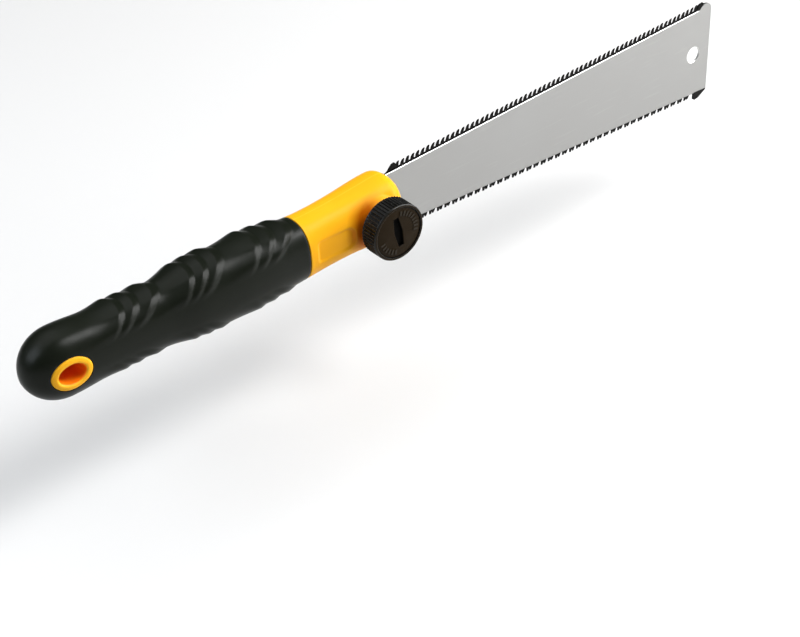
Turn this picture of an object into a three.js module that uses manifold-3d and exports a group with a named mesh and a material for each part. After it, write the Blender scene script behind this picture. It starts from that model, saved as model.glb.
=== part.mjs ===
// Hand saw with an interchangeable double-edged blade, clamped by a knurled side knob.
//
// Units are millimetres. +X runs from the butt of the handle to the toe of the blade,
// +Z points up across the blade (fine teeth on top), and the knob is on the -Y side.
// Everything is laid out around the knob axis, on the middle plane of the blade, and the
// whole saw is then shifted so that the origin is the centre of its bounding box.

import * as THREE from "three";
import { mergeVertices } from "three/addons/utils/BufferGeometryUtils.js";
import Module from "manifold-3d";

const wasm = await Module();
wasm.setup();

// ---------------------------------------------------------------- driving dimensions

const GAP = 0.3; // clearance between two pieces that touch

const BUTT_X = -185.8; // rear end of the grip
const GRIP_FRONT_X = -40.7; // where the rubber stops and the bare neck begins
const NOSE_X = 17.5; // front of the head
const TOE_X = 230; // front end of the blade

const BLADE_THICKNESS = 1.0;
const BLADE_FLARE = 0.043; // how fast each edge spreads towards the toe
const FINE_TIP_AT_AXIS = 17.2; // height of the fine tips, if carried back to x = 0
const COARSE_TIP_AT_AXIS = 17.8; // depth of the coarse tips, if carried back to x = 0
const FINE_PITCH = 3.1;
const FINE_DEPTH = 2.6;
const COARSE_PITCH = 4.85;
const COARSE_DEPTH = 2.4;
const CORNER_DROP = 1.4; // how far the toe's lower corner stands below the coarse tips
const CORNER_DIP = 1.4; // how far the toe's upper corner lies under the fine tips
const HEEL_X = 11.5; // where the toothed edges start to stand out of the tang
const FIRST_TOOTH_X = 19;
const LAST_TOOTH_X = 219.5;
const TOE_HOLE = { x: 218, z: -1.5, radius: 4.9 };

const KEYHOLE_RADIUS = 5.2; // round end of the fork, around the clamp screw
const FORK_SLOT = 6.8; // width of the open slot between the two prongs
const FORK_TIP_X = -32.3;
const FORK_TIP_HALF = 9.5; // half height over both prongs at their tips
const FORK_HALF = 10.6; // half height over both prongs beside the keyhole
const SHOULDER_X = -4.5; // where the fork widens into the tang
const TANG_HALF = 14.2; // half height of the tang inside the head

const KNOB_RADIUS = 14.3;
const KNOB_FACE_Y = -25.4;
const KNOB_REAR_Y = -15.4;
const KNOB_RIBS = 54;
const KNOB_BEVEL = 1.0; // bevel between the ribs and the face
const RIB_DEPTH = 0.6;
const CHEEK_Y = 13.8; // flat bosses on both sides of the head
const CHEEK_RADIUS = 12.4;
const CHEEK_PROUD = 0.6; // how far the bosses may stand out of the head around them
const CAP_RADIUS = 12.6;
const CAP_FACE_Y = -25.0;
const CAP_THICKNESS = 1.5;
const SLOT_HALF = { length: 7.2, middle: 2.3, end: 1.4 }; // coin slot, widest in the middle
const SLOT_LEAN = THREE.MathUtils.degToRad(-9); // the coin slot's lean at rest

const SCREW_RADIUS = 3.0; // M6
const SCREW_HEX = 10; // across flats of the screw head and of the nut
const SCREW_END_Y = 13.0;
const SCREW_HEAD_REAR_Y = -18.6;
const CLIP_GROOVE = 0.7; // depth of the groove for the retaining ring
const CLIP_RADIUS = 4.8;
const NUT_FRONT_Y = 4.6;
const NUT_THICKNESS = 5.0;
const CLIP_Y = 12.0; // retaining ring on the end of the screw
const CLIP_THICKNESS = 0.8;
const PLUG_FACE_Y = 15.0; // outer face of the plug over the nut
const PLUG_RADIUS = 8.0;
const PLUG_DEPTH = 2.0;
const WASHER_RADIUS = 9.0;

const JAW_THICKNESS = 1.5;
const JAW_SIZE = { x: 20, z: 22 };
const GUIDE_PIN = { x: -24, radius: 2.7, halfLength: 7.5 };

const EYELET = { x: -167.3, z: -1.0, outerX: 9.8, outerZ: 8.0, innerX: 6.5, innerZ: 4.8 };
const CORE_SCREWS_X = [-50, -82, -114, -146];
const CORE_SCREW_RADIUS = 1.9;
const CORE_SCREW_END_Y = 6.2;
const CORE_HEAD = { radius: 3.4, rearY: -6.0, height: 2.2 }; // heads of the core screws
const BOSS_RADIUS = 4.6;
const SHELL_WALL = 2.6;
const RUBBER = 3.4; // thickness of the rubber over the core

// Oblong recess on each flank of the neck; front is the centre of its round end.
const PANEL = { rear: -36, front: -21, half: 6.6, z: -0.6, floorY: 11.1 };

const THROUGH = 20; // reach of a cut that goes right through the handle
const BEYOND = 220; // larger than the whole saw

// ---------------------------------------------------------------- outer form of the handle

// Half width (Y), half height (Z) and centre height of the handle along X.
const HANDLE = [
  { x: -190, w: 12.8, h: 16.3, z: -0.9 },
  { x: -165, w: 13.2, h: 16.7, z: -1.0 },
  { x: -145, w: 12.3, h: 15.5, z: -1.3 },
  { x: -117, w: 12.2, h: 15.4, z: -1.6 },
  { x: -100, w: 13.8, h: 17.3, z: -1.7 },
  { x: -84, w: 14.2, h: 17.9, z: -1.7 },
  { x: -68, w: 14.0, h: 17.7, z: -1.7 },
  { x: -52, w: 12.9, h: 16.3, z: -1.9 },
  { x: -40, w: 12.2, h: 15.4, z: -2.0 },
  { x: -28, w: 11.9, h: 14.5, z: -2.0 },
  { x: -14, w: 12.5, h: 14.8, z: -1.2 },
  { x: -3, w: 13.5, h: 16.0, z: -0.3 },
  { x: 6, w: 13.6, h: 16.6, z: 0 },
  { x: 20, w: 13.6, h: 16.6, z: 0 },
];
const SECTION_POWER = 2.35; // 2 is an ellipse, more is squarer
const BUTT_DOME = 20; // length of the rounded butt
const NOSE_DOME = 10.5; // length of the rounded nose

// Finger ridges: three groups of three overlapping scales on the top and the underside.
const RIDGE_GROUPS_X = [-130, -93.5, -58];
const RIDGE_SPACING = 8.2;
const RIDGES_PER_GROUP = 3;
const RIDGE_HEIGHT = 0.9;
const RIDGE_SWEEP = 9; // how far a ridge bends towards the butt on the flank

// Cubic interpolation of one property of a list of stations.
function along(stations, key, x) {
  const last = stations.length - 1;
  let i = 0;
  while (i < last - 1 && x > stations[i + 1].x) i += 1;
  const a = stations[i];
  const b = stations[i + 1];
  const before = stations[Math.max(i - 1, 0)];
  const after = stations[Math.min(i + 2, last)];
  const span = b.x - a.x;
  const t = THREE.MathUtils.clamp((x - a.x) / span, 0, 1);
  const slopeA = ((b[key] - before[key]) / (b.x - before.x)) * span;
  const slopeB = ((after[key] - a[key]) / (after.x - a.x)) * span;
  const t2 = t * t;
  const t3 = t2 * t;
  return (
    (2 * t3 - 3 * t2 + 1) * a[key] +
    (t3 - 2 * t2 + t) * slopeA +
    (3 * t2 - 2 * t3) * b[key] +
    (t3 - t2) * slopeB
  );
}

// How much a rounded end shrinks the section: 1 on the body, 0 at the very end.
function dome(distanceFromEnd, length) {
  if (distanceFromEnd >= length) return 1;
  const s = 1 - Math.max(distanceFromEnd, 0) / length;
  return Math.sqrt(Math.max(1 - s ** 2.2, 0));
}

// Height of the finger ridges at x, at an angle round the section.
function ridge(x, angle) {
  const upright = Math.abs(Math.sin(angle));
  const strength = THREE.MathUtils.smoothstep(upright, 0.3, 0.9);
  const here = x + RIDGE_SWEEP * (1 - upright) ** 1.5;
  let height = 0;
  for (const start of RIDGE_GROUPS_X) {
    for (let i = 0; i < RIDGES_PER_GROUP; i += 1) {
      const t = (here - start - i * RIDGE_SPACING) / RIDGE_SPACING;
      if (t < -1 || t > 0.45) continue;
      const rise = t < 0 ? 1 + t : 1 - t / 0.45;
      height = Math.max(height, THREE.MathUtils.smoothstep(rise, 0, 1));
    }
  }
  return RIDGE_HEIGHT * strength * height;
}

// One closed ring of points round the handle at x, moved in by inset.
function ring(x, inset, count, withRidges, power = SECTION_POWER) {
  const ends = dome(x - BUTT_X - inset, BUTT_DOME - inset) * dome(NOSE_X - inset - x, NOSE_DOME);
  const w = (along(HANDLE, "w", x) - inset) * ends;
  const h = (along(HANDLE, "h", x) - inset) * ends;
  const zc = along(HANDLE, "z", x);
  const points = [];
  for (let i = 0; i < count; i += 1) {
    const angle = ((i + 0.5) / count) * Math.PI * 2;
    const c = Math.cos(angle);
    const s = Math.sin(angle);
    const extra = withRidges ? ridge(x, angle) * ends : 0;
    const y = (w + extra) * Math.sign(c) * Math.abs(c) ** (2 / power);
    const z = (h + extra) * Math.sign(s) * Math.abs(s) ** (2 / power);
    points.push(new THREE.Vector3(x, y, zc + z));
  }
  return points;
}

// Places along X for the sections of a form that lies inset under the outer surface: close
// together in the rounded butt, then even as far as end.
function sectionPlaces(inset, end, evenSteps) {
  const length = BUTT_DOME - inset;
  const start = BUTT_X + inset;
  const rounded = range(0.02, 1, 7).map((t) => start + length * (1 - Math.cos((t * Math.PI) / 2)));
  return [...rounded, ...range(start + length, end, evenSteps).slice(1)];
}

function range(from, to, steps) {
  return Array.from({ length: steps + 1 }, (_, i) => from + ((to - from) * i) / steps);
}

// ---------------------------------------------------------------- solid helpers

// A closed skin over a row of rings that all have the same number of points.
function loft(rings) {
  const count = rings[0].length;
  const positions = [];
  const index = [];
  for (const points of rings) {
    for (const p of points) positions.push(p.x, p.y, p.z);
  }
  for (let r = 0; r + 1 < rings.length; r += 1) {
    for (let i = 0; i < count; i += 1) {
      const a = r * count + i;
      const b = r * count + ((i + 1) % count);
      index.push(a, b, b + count, a, b + count, a + count);
    }
  }
  for (const [r, flip] of [[0, false], [rings.length - 1, true]]) {
    const centre = rings[r].reduce((sum, p) => sum.add(p), new THREE.Vector3());
    centre.divideScalar(count);
    const middle = positions.length / 3;
    positions.push(centre.x, centre.y, centre.z);
    for (let i = 0; i < count; i += 1) {
      const a = r * count + i;
      const b = r * count + ((i + 1) % count);
      if (flip) index.push(middle, a, b);
      else index.push(middle, b, a);
    }
  }
  const geometry = new THREE.BufferGeometry();
  geometry.setAttribute("position", new THREE.Float32BufferAttribute(positions, 3));
  geometry.setIndex(index);
  return geometry;
}

function solid(geometry) {
  const bare = geometry.clone();
  bare.deleteAttribute("normal");
  bare.deleteAttribute("uv");
  const merged = mergeVertices(bare, 1e-4);
  const made = new wasm.Manifold(
    new wasm.Mesh({
      numProp: 3,
      vertProperties: new Float32Array(merged.attributes.position.array),
      triVerts: new Uint32Array(merged.index.array),
    }),
  );
  if (made.volume() < 0) throw new Error("a solid is inside out");
  return made;
}

function geometryOf(made) {
  const mesh = made.getMesh();
  const geometry = new THREE.BufferGeometry();
  geometry.setAttribute("position", new THREE.BufferAttribute(mesh.vertProperties, 3));
  geometry.setIndex(new THREE.BufferAttribute(mesh.triVerts, 1));
  return geometry.toNonIndexed();
}

// A shape drawn in X and Z, given thickness from y0 to y1.
function slab(shape, y0, y1, curveSegments = 10) {
  const geometry = new THREE.ExtrudeGeometry(shape, {
    depth: y1 - y0,
    bevelEnabled: false,
    curveSegments,
  });
  return geometry.rotateX(Math.PI / 2).translate(0, y1, 0);
}

// The same on one side of the middle plane, from near to far.
function sideSlab(shape, side, near, far, curveSegments = 10) {
  return slab(shape, side < 0 ? -far : near, side < 0 ? -near : far, curveSegments);
}

function circle(radius, x = 0, z = 0) {
  return new THREE.Shape().absarc(x, z, radius, 0, Math.PI * 2, false);
}

function oval(halfX, halfZ, x = 0, z = 0) {
  return new THREE.Shape().absellipse(x, z, halfX, halfZ, 0, Math.PI * 2, false);
}

function hexagon(acrossFlats) {
  const corner = acrossFlats / Math.sqrt(3);
  const points = [];
  for (let i = 0; i < 6; i += 1) {
    const angle = (i * Math.PI) / 3;
    points.push(new THREE.Vector2(corner * Math.cos(angle), corner * Math.sin(angle)));
  }
  return new THREE.Shape(points);
}

function rectangle(x0, x1, z0, z1) {
  return new THREE.Shape([
    new THREE.Vector2(x0, z0),
    new THREE.Vector2(x1, z0),
    new THREE.Vector2(x1, z1),
    new THREE.Vector2(x0, z1),
  ]);
}

// A turned body about the Y axis through (x, z): profile points are [radius, y].
function turned(profile, x = 0, z = 0, segments = 24) {
  const points = profile.map(([radius, y]) => new THREE.Vector2(radius, y));
  return new THREE.LatheGeometry(points, segments).translate(x, 0, z);
}

const material = (colour, roughness, metalness) =>
  new THREE.MeshStandardMaterial({ color: colour, roughness, metalness });
const YELLOW = material(0xf6b90f, 0.42, 0);
const RUBBER_BLACK = material(0x1b1c1a, 0.55, 0);
const KNOB_BLACK = material(0x17160f, 0.5, 0);
const STEEL = material(0xb4b2ae, 0.35, 1);
const ZINC = material(0xc3c5c8, 0.4, 1);

const saw = new THREE.Group();

function add(name, geometry, look) {
  const mesh = new THREE.Mesh(geometry, look);
  mesh.name = name;
  saw.add(mesh);
}

// ---------------------------------------------------------------- moulded core

// Full outer form of the yellow core: bare neck and head in front, slimmer under the rubber.
function coreForm() {
  const shoulder = GRIP_FRONT_X + GAP;
  const under = sectionPlaces(RUBBER, shoulder, 18);
  const bare = range(shoulder, NOSE_X - 0.05, 24);
  const rings = [
    ...under.map((x) => ring(x, RUBBER, 24, false)),
    ...bare.map((x) => ring(x, 0, 24, false)),
  ];
  return solid(loft(rings));
}

// Space inside the core, behind the tang pocket.
function coreHollow() {
  const rear = EYELET.x + EYELET.outerX + SHELL_WALL;
  const inset = RUBBER + SHELL_WALL;
  const places = range(rear, GRIP_FRONT_X - SHELL_WALL, 14);
  return solid(loft(places.map((x) => ring(x, inset, 20, false))));
}

// Slot for the tang, open at the nose, and wider where the toothed edges begin.
function bladeSlot() {
  const half = BLADE_THICKNESS / 2 + GAP;
  const clear = 0.5;
  const steps = [
    [FORK_TIP_X - 1.5, FORK_HALF],
    [SHOULDER_X, TANG_HALF],
    [HEEL_X - clear, THROUGH],
  ];
  let slot = null;
  for (const [start, height] of steps) {
    const box = rectangle(start, NOSE_X + 5, -height - clear, height + clear);
    const cut = solid(slab(box, -half, half));
    slot = slot ? slot.add(cut) : cut;
  }
  return slot;
}

function flankPanel(side) {
  const { rear, front, half, z, floorY } = PANEL;
  const shape = new THREE.Shape();
  shape.moveTo(rear, z - half);
  shape.lineTo(front, z - half);
  shape.absarc(front, z, half, -Math.PI / 2, Math.PI / 2, false);
  shape.lineTo(rear, z + half);
  return solid(sideSlab(shape, side, floorY, THROUGH, 8));
}

// Everything that is cut out of one half of the core; side is -1 (knob) or +1 (nut).
function coreCuts(side) {
  const jawDepth = BLADE_THICKNESS / 2 + GAP + JAW_THICKNESS + GAP;
  const jawX = JAW_SIZE.x / 2 + GAP;
  const jawZ = JAW_SIZE.z / 2 + GAP;
  const pinReach = GUIDE_PIN.halfLength + GAP;
  const cuts = [
    bladeSlot(),
    flankPanel(side),
    solid(sideSlab(rectangle(-jawX, jawX, -jawZ, jawZ), side, 0, jawDepth)),
    solid(slab(circle(SCREW_RADIUS + GAP), -THROUGH, THROUGH)),
    solid(slab(circle(GUIDE_PIN.radius + GAP, GUIDE_PIN.x), -pinReach, pinReach)),
    eyeletHole(),
  ];
  if (side > 0) {
    const plugSeat = PLUG_FACE_Y - PLUG_DEPTH - GAP;
    cuts.push(solid(slab(hexagon(SCREW_HEX + 2 * GAP), NUT_FRONT_Y - GAP, THROUGH)));
    cuts.push(solid(slab(circle(PLUG_RADIUS + GAP), plugSeat, THROUGH, 12)));
  }
  for (const x of CORE_SCREWS_X) {
    const z = along(HANDLE, "z", x);
    const shank = circle(CORE_SCREW_RADIUS + GAP, x, z);
    cuts.push(solid(slab(shank, -THROUGH, CORE_SCREW_END_Y + GAP, 6)));
    const head = circle(CORE_HEAD.radius + GAP, x, z);
    if (side < 0) cuts.push(solid(slab(head, -THROUGH, CORE_HEAD.rearY + GAP, 8)));
  }
  return cuts.reduce((sum, cut) => sum.add(cut));
}

// Pillars inside the core that the screws go through.
function coreBosses() {
  const reach = 9;
  return CORE_SCREWS_X.map((x) => {
    const z = along(HANDLE, "z", x);
    return solid(slab(circle(BOSS_RADIUS, x, z), -reach, reach, 6));
  }).reduce((sum, boss) => sum.add(boss));
}

// Flat bosses under the knob and round the nut, kept within the head's rounded form.
function cheekBosses() {
  const places = range(-CHEEK_RADIUS, NOSE_X - GAP, 12);
  const around = solid(loft(places.map((x) => ring(x, -CHEEK_PROUD, 24, false))));
  return solid(slab(circle(CHEEK_RADIUS), -CHEEK_Y, CHEEK_Y, 12)).intersect(around);
}

function makeCore() {
  const shell = coreForm().add(cheekBosses()).subtract(coreHollow().subtract(coreBosses()));
  const everywhere = rectangle(-BEYOND, BEYOND, -BEYOND, BEYOND);
  for (const [name, side] of [["core_left", -1], ["core_right", 1]]) {
    const half = solid(sideSlab(everywhere, side, GAP / 2, BEYOND));
    add(name, geometryOf(shell.intersect(half).subtract(coreCuts(side))), YELLOW);
  }
}

function makeCoreScrews() {
  const { radius, rearY, height } = CORE_HEAD;
  const chamfer = 0.5;
  const tip = 1.2;
  const profile = [
    [0, rearY - height],
    [radius - chamfer, rearY - height],
    [radius, rearY - height + chamfer],
    [radius, rearY],
    [CORE_SCREW_RADIUS, rearY],
    [CORE_SCREW_RADIUS, CORE_SCREW_END_Y - tip],
    [0, CORE_SCREW_END_Y],
  ];
  CORE_SCREWS_X.forEach((x, i) => {
    add(`core_screw_${i + 1}`, turned(profile, x, along(HANDLE, "z", x), 14), ZINC);
  });
}

// ---------------------------------------------------------------- rubber grip and eyelet

function gripForm() {
  const places = sectionPlaces(0, GRIP_FRONT_X, 52);
  return solid(loft(places.map((x) => ring(x, 0, 28, true))));
}

function eyeletHole() {
  const outline = oval(EYELET.outerX + GAP, EYELET.outerZ + GAP, EYELET.x, EYELET.z);
  return solid(slab(outline, -THROUGH, THROUGH));
}

function makeGrip() {
  const inset = RUBBER - GAP;
  const inside = sectionPlaces(inset, GRIP_FRONT_X + GAP, 18);
  const cavity = solid(loft(inside.map((x) => ring(x, inset, 24, false))));
  const sleeve = gripForm().subtract(cavity).subtract(eyeletHole());
  add("grip_sleeve", geometryOf(sleeve), RUBBER_BLACK);
}

// Oval liner of the hanging hole, its ends following the surface of the grip.
function makeEyelet() {
  const outer = oval(EYELET.outerX, EYELET.outerZ, EYELET.x, EYELET.z);
  outer.holes.push(oval(EYELET.innerX, EYELET.innerZ, EYELET.x, EYELET.z));
  const tube = solid(slab(outer, -THROUGH, THROUGH));
  add("hang_eyelet", geometryOf(tube.intersect(gripForm())), YELLOW);
}

// ---------------------------------------------------------------- blade

// One tooth: places along the pitch and heights, both as shares of 1. Fine teeth are narrow
// and lean to the toe; coarse teeth are blocks with a steep face towards the handle.
const FINE_TOOTH = [[0, 0], [0.6, 1], [0.5, 0]];
const COARSE_TOOTH = [[0, 0], [0.06, 1], [0.25, 0.95], [0.62, 0.5], [0.78, 0]];

// Points of one toothed edge, from its heel to the toe, as [x, height].
function toothedEdge(tooth, pitch, depth, tipAtAxis) {
  const edgeAt = (x) => tipAtAxis + BLADE_FLARE * x;
  const points = [
    [HEEL_X, TANG_HALF],
    [HEEL_X + 3, TANG_HALF + 1.6],
    [FIRST_TOOTH_X - 2, edgeAt(FIRST_TOOTH_X) - 0.5],
    [FIRST_TOOTH_X - 1, edgeAt(FIRST_TOOTH_X)],
  ];
  const count = Math.floor((LAST_TOOTH_X - FIRST_TOOTH_X) / pitch);
  for (let i = 0; i < count; i += 1) {
    for (const [share, height] of tooth) {
      const x = FIRST_TOOTH_X + (i + share) * pitch;
      points.push([x, edgeAt(x) - depth * (1 - height)]);
    }
  }
  points.push([LAST_TOOTH_X, edgeAt(LAST_TOOTH_X) - depth]);
  return points;
}

function bladeShape() {
  const shape = new THREE.Shape();
  const slot = FORK_SLOT / 2;
  const toeTop = FINE_TIP_AT_AXIS + BLADE_FLARE * TOE_X - CORNER_DIP;
  const toeBottom = -(COARSE_TIP_AT_AXIS + BLADE_FLARE * TOE_X + CORNER_DROP);
  const tang = [
    [FORK_TIP_X, FORK_TIP_HALF - 1.5],
    [FORK_TIP_X + 1.5, FORK_TIP_HALF],
    [SHOULDER_X - 1, FORK_HALF],
    [SHOULDER_X + 6, TANG_HALF],
  ];
  const coarse = toothedEdge(COARSE_TOOTH, COARSE_PITCH, COARSE_DEPTH, COARSE_TIP_AT_AXIS);
  const fine = toothedEdge(FINE_TOOTH, FINE_PITCH, FINE_DEPTH, FINE_TIP_AT_AXIS);

  shape.moveTo(FORK_TIP_X, -slot);
  for (const [x, z] of [...tang, ...coarse]) shape.lineTo(x, -z);
  shape.lineTo(LAST_TOOTH_X + 0.5, toeBottom);
  shape.quadraticCurveTo(TOE_X - 3.5, toeBottom, TOE_X - 1, toeBottom + 6.4);
  shape.lineTo(TOE_X, toeTop - 5);
  shape.quadraticCurveTo(TOE_X, toeTop - 1, TOE_X - 4.5, toeTop);
  shape.lineTo(LAST_TOOTH_X + 3.5, toeTop + 0.3);
  shape.lineTo(LAST_TOOTH_X + 2, toeTop - 0.6);
  for (const [x, z] of [...tang, ...fine].reverse()) shape.lineTo(x, z);
  shape.lineTo(FORK_TIP_X, slot);
  const bite = Math.PI - Math.asin(slot / KEYHOLE_RADIUS);
  shape.lineTo(KEYHOLE_RADIUS * Math.cos(bite), slot);
  shape.absarc(0, 0, KEYHOLE_RADIUS, bite, -bite, true);
  shape.lineTo(FORK_TIP_X, -slot);
  shape.holes.push(circle(TOE_HOLE.radius, TOE_HOLE.x, TOE_HOLE.z));
  return shape;
}

function makeBlade() {
  add("blade", slab(bladeShape(), -BLADE_THICKNESS / 2, BLADE_THICKNESS / 2, 12), STEEL);
}

// ---------------------------------------------------------------- clamp

function makeJaws() {
  const { x, z } = JAW_SIZE;
  const near = BLADE_THICKNESS / 2 + GAP;
  for (const [name, side] of [["jaw_plate_left", -1], ["jaw_plate_right", 1]]) {
    const plate = rectangle(-x / 2, x / 2, -z / 2, z / 2);
    plate.holes.push(circle(SCREW_RADIUS + GAP));
    add(name, sideSlab(plate, side, near, near + JAW_THICKNESS, 8), ZINC);
  }
}

function makeGuidePin() {
  const { x, radius, halfLength } = GUIDE_PIN;
  const chamfer = 0.5;
  const profile = [
    [0, -halfLength],
    [radius - chamfer, -halfLength],
    [radius, -halfLength + chamfer],
    [radius, halfLength - chamfer],
    [radius - chamfer, halfLength],
    [0, halfLength],
  ];
  add("guide_pin", turned(profile, x, 0, 16), ZINC);
}

function makeNut() {
  const nut = hexagon(SCREW_HEX);
  nut.holes.push(circle(SCREW_RADIUS + GAP));
  add("clamp_nut", slab(nut, NUT_FRONT_Y, NUT_FRONT_Y + NUT_THICKNESS, 8), ZINC);
}

function makeNutPlug() {
  const rear = PLUG_FACE_Y - PLUG_DEPTH;
  const edge = 0.5;
  const rim = 2;
  const profile = [
    [0, rear + GAP],
    [PLUG_RADIUS - rim, rear + GAP],
    [PLUG_RADIUS - rim, rear],
    [PLUG_RADIUS, rear],
    [PLUG_RADIUS, PLUG_FACE_Y - edge],
    [PLUG_RADIUS - edge, PLUG_FACE_Y],
    [0, PLUG_FACE_Y],
  ];
  add("nut_plug", turned(profile, 0, 0, 32), KNOB_BLACK);
}

function makeWasher() {
  const washer = circle(WASHER_RADIUS);
  washer.holes.push(circle(SCREW_RADIUS + GAP));
  add("thrust_washer", slab(washer, KNOB_REAR_Y + GAP, -CHEEK_Y - 0.2, 12), ZINC);
}

// Outline of the knob's side: flat-topped ribs with narrower grooves between them.
function ribbedOutline() {
  const step = (Math.PI * 2) / KNOB_RIBS;
  const low = KNOB_RADIUS - RIB_DEPTH;
  const rib = [[0, KNOB_RADIUS], [0.5, KNOB_RADIUS], [0.62, low], [0.88, low]];
  const points = [];
  for (let i = 0; i < KNOB_RIBS; i += 1) {
    for (const [share, radius] of rib) {
      const angle = (i + share) * step;
      points.push(new THREE.Vector2(radius * Math.cos(angle), radius * Math.sin(angle)));
    }
  }
  return new THREE.Shape(points);
}

function makeKnob() {
  const shoulder = KNOB_FACE_Y + KNOB_BEVEL;
  const capSeat = CAP_FACE_Y + CAP_THICKNESS + GAP;
  const screwSeat = SCREW_HEAD_REAR_Y + GAP;
  const ribbed = solid(slab(ribbedOutline(), shoulder, KNOB_REAR_Y));
  const lip = solid(turned([
    [0, KNOB_FACE_Y],
    [KNOB_RADIUS - KNOB_BEVEL, KNOB_FACE_Y],
    [KNOB_RADIUS - 0.05, shoulder],
    [0, shoulder],
  ], 0, 0, 44));
  const knob = ribbed
    .add(lip)
    .subtract(solid(slab(circle(CAP_RADIUS + GAP), -BEYOND, capSeat, 12)))
    .subtract(solid(slab(hexagon(SCREW_HEX + 2 * GAP), -BEYOND, screwSeat)))
    .subtract(solid(slab(circle(SCREW_RADIUS + GAP), -BEYOND, 0, 8)));
  add("clamp_knob", geometryOf(knob), KNOB_BLACK);
}

// Disc in the face of the knob, with a coin slot that is widest in the middle.
function makeKnobCap() {
  const { length, middle, end } = SLOT_HALF;
  const slot = new THREE.Shape([
    new THREE.Vector2(-end, -length),
    new THREE.Vector2(end, -length),
    new THREE.Vector2(middle, 0),
    new THREE.Vector2(end, length),
    new THREE.Vector2(-end, length),
    new THREE.Vector2(-middle, 0),
  ]);
  const disc = circle(CAP_RADIUS);
  disc.holes.push(slot);
  const cap = slab(disc, CAP_FACE_Y, CAP_FACE_Y + CAP_THICKNESS, 12);
  add("knob_cap", cap.rotateY(SLOT_LEAN), KNOB_BLACK);
}

function makeClampScrew() {
  const headFront = CAP_FACE_Y + CAP_THICKNESS + GAP;
  const slack = 0.1; // the groove is this much longer than the ring at each end
  const tip = SCREW_RADIUS - 0.2;
  const grooveEnd = CLIP_Y + CLIP_THICKNESS + slack;
  const shank = solid(turned([
    [0, SCREW_HEAD_REAR_Y - 0.5],
    [SCREW_RADIUS, SCREW_HEAD_REAR_Y - 0.5],
    [SCREW_RADIUS, CLIP_Y - slack],
    [SCREW_RADIUS - CLIP_GROOVE, CLIP_Y - slack],
    [SCREW_RADIUS - CLIP_GROOVE, grooveEnd],
    [tip, grooveEnd],
    [tip, SCREW_END_Y],
    [0, SCREW_END_Y],
  ], 0, 0, 20));
  const head = solid(slab(hexagon(SCREW_HEX), headFront, SCREW_HEAD_REAR_Y));
  add("clamp_screw", geometryOf(head.add(shank)), ZINC);
}

function makeScrewClip() {
  const inner = SCREW_RADIUS - CLIP_GROOVE + GAP;
  const profile = [
    [inner, CLIP_Y],
    [CLIP_RADIUS, CLIP_Y],
    [CLIP_RADIUS, CLIP_Y + CLIP_THICKNESS],
    [inner, CLIP_Y + CLIP_THICKNESS],
    [inner, CLIP_Y],
  ];
  add("screw_clip", turned(profile, 0, 0, 20), STEEL);
}

makeCore();
makeCoreScrews();
makeGrip();
makeEyelet();
makeGuidePin();
makeJaws();
makeNut();
makeNutPlug();
makeWasher();
makeKnob();
makeKnobCap();
makeClampScrew();
makeScrewClip();
makeBlade();

const middle = new THREE.Box3().setFromObject(saw).getCenter(new THREE.Vector3());
saw.position.copy(middle.negate());

const part = new THREE.Group();
part.add(saw);

export default part;
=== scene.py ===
"""Hand saw with an interchangeable double-edged blade, clamped by a ribbed side knob.

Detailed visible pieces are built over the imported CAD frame. Lengths in this file are
millimetres, laid out round the knob's axis on the blade's middle plane: +X towards the toe,
+Z across the blade, and the knob on the -Y side. place() turns them into the row frame.
"""

import math

import bmesh
import bpy
import numpy as np
from mathutils import Matrix, Vector


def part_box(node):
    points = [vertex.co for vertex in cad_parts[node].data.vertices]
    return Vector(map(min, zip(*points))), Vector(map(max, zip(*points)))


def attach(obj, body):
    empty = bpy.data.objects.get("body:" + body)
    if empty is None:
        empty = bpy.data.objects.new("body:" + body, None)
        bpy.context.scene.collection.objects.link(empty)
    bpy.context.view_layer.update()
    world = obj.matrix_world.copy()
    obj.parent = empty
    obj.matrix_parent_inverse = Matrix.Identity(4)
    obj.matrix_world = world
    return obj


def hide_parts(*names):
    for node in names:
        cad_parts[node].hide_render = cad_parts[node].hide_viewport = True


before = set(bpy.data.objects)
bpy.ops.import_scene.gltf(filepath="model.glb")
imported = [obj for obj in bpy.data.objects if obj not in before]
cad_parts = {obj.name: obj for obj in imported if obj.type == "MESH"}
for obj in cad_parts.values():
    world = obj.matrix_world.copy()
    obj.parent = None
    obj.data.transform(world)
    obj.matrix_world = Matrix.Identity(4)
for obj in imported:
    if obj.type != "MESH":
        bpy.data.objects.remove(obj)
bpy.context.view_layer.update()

MM = 0.001

# ------------------------------------------------------------------ driving dimensions

GAP = 0.3  # clearance between pieces that touch

# Handle: x, half width, half height and centre height of its sections.
HANDLE = [
    (-190, 12.8, 16.3, -0.9),
    (-165, 13.2, 16.7, -1.0),
    (-145, 12.3, 15.5, -1.3),
    (-117, 12.2, 15.4, -1.6),
    (-100, 13.8, 17.3, -1.7),
    (-84, 14.2, 17.9, -1.7),
    (-68, 14.0, 17.7, -1.7),
    (-52, 12.9, 16.3, -1.9),
    (-40, 12.2, 15.4, -2.0),
    (-28, 11.9, 15.1, -1.5),
    (-14, 12.5, 15.3, -0.7),
    (-3, 13.5, 16.0, -0.3),
    (6, 13.6, 16.6, 0.0),
    (20, 13.6, 16.6, 0.0),
]
HALF_WIDTH, HALF_HEIGHT, CENTRE_HEIGHT = 1, 2, 3
SECTION_POWER = 2.35  # 2 is an ellipse, more is squarer
BUTT_X = -185.8
BUTT_DOME = 20
NOSE_X = 17.5
NOSE_DOME = 10.5
GRIP_FRONT_X = -40.7
RUBBER = 3.4  # thickness of the rubber over the core
SHELL_WALL = 2.6  # thickness of the core's wall
SEAM = 0.012  # each half of the core stops this far from the blade's middle plane

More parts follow.
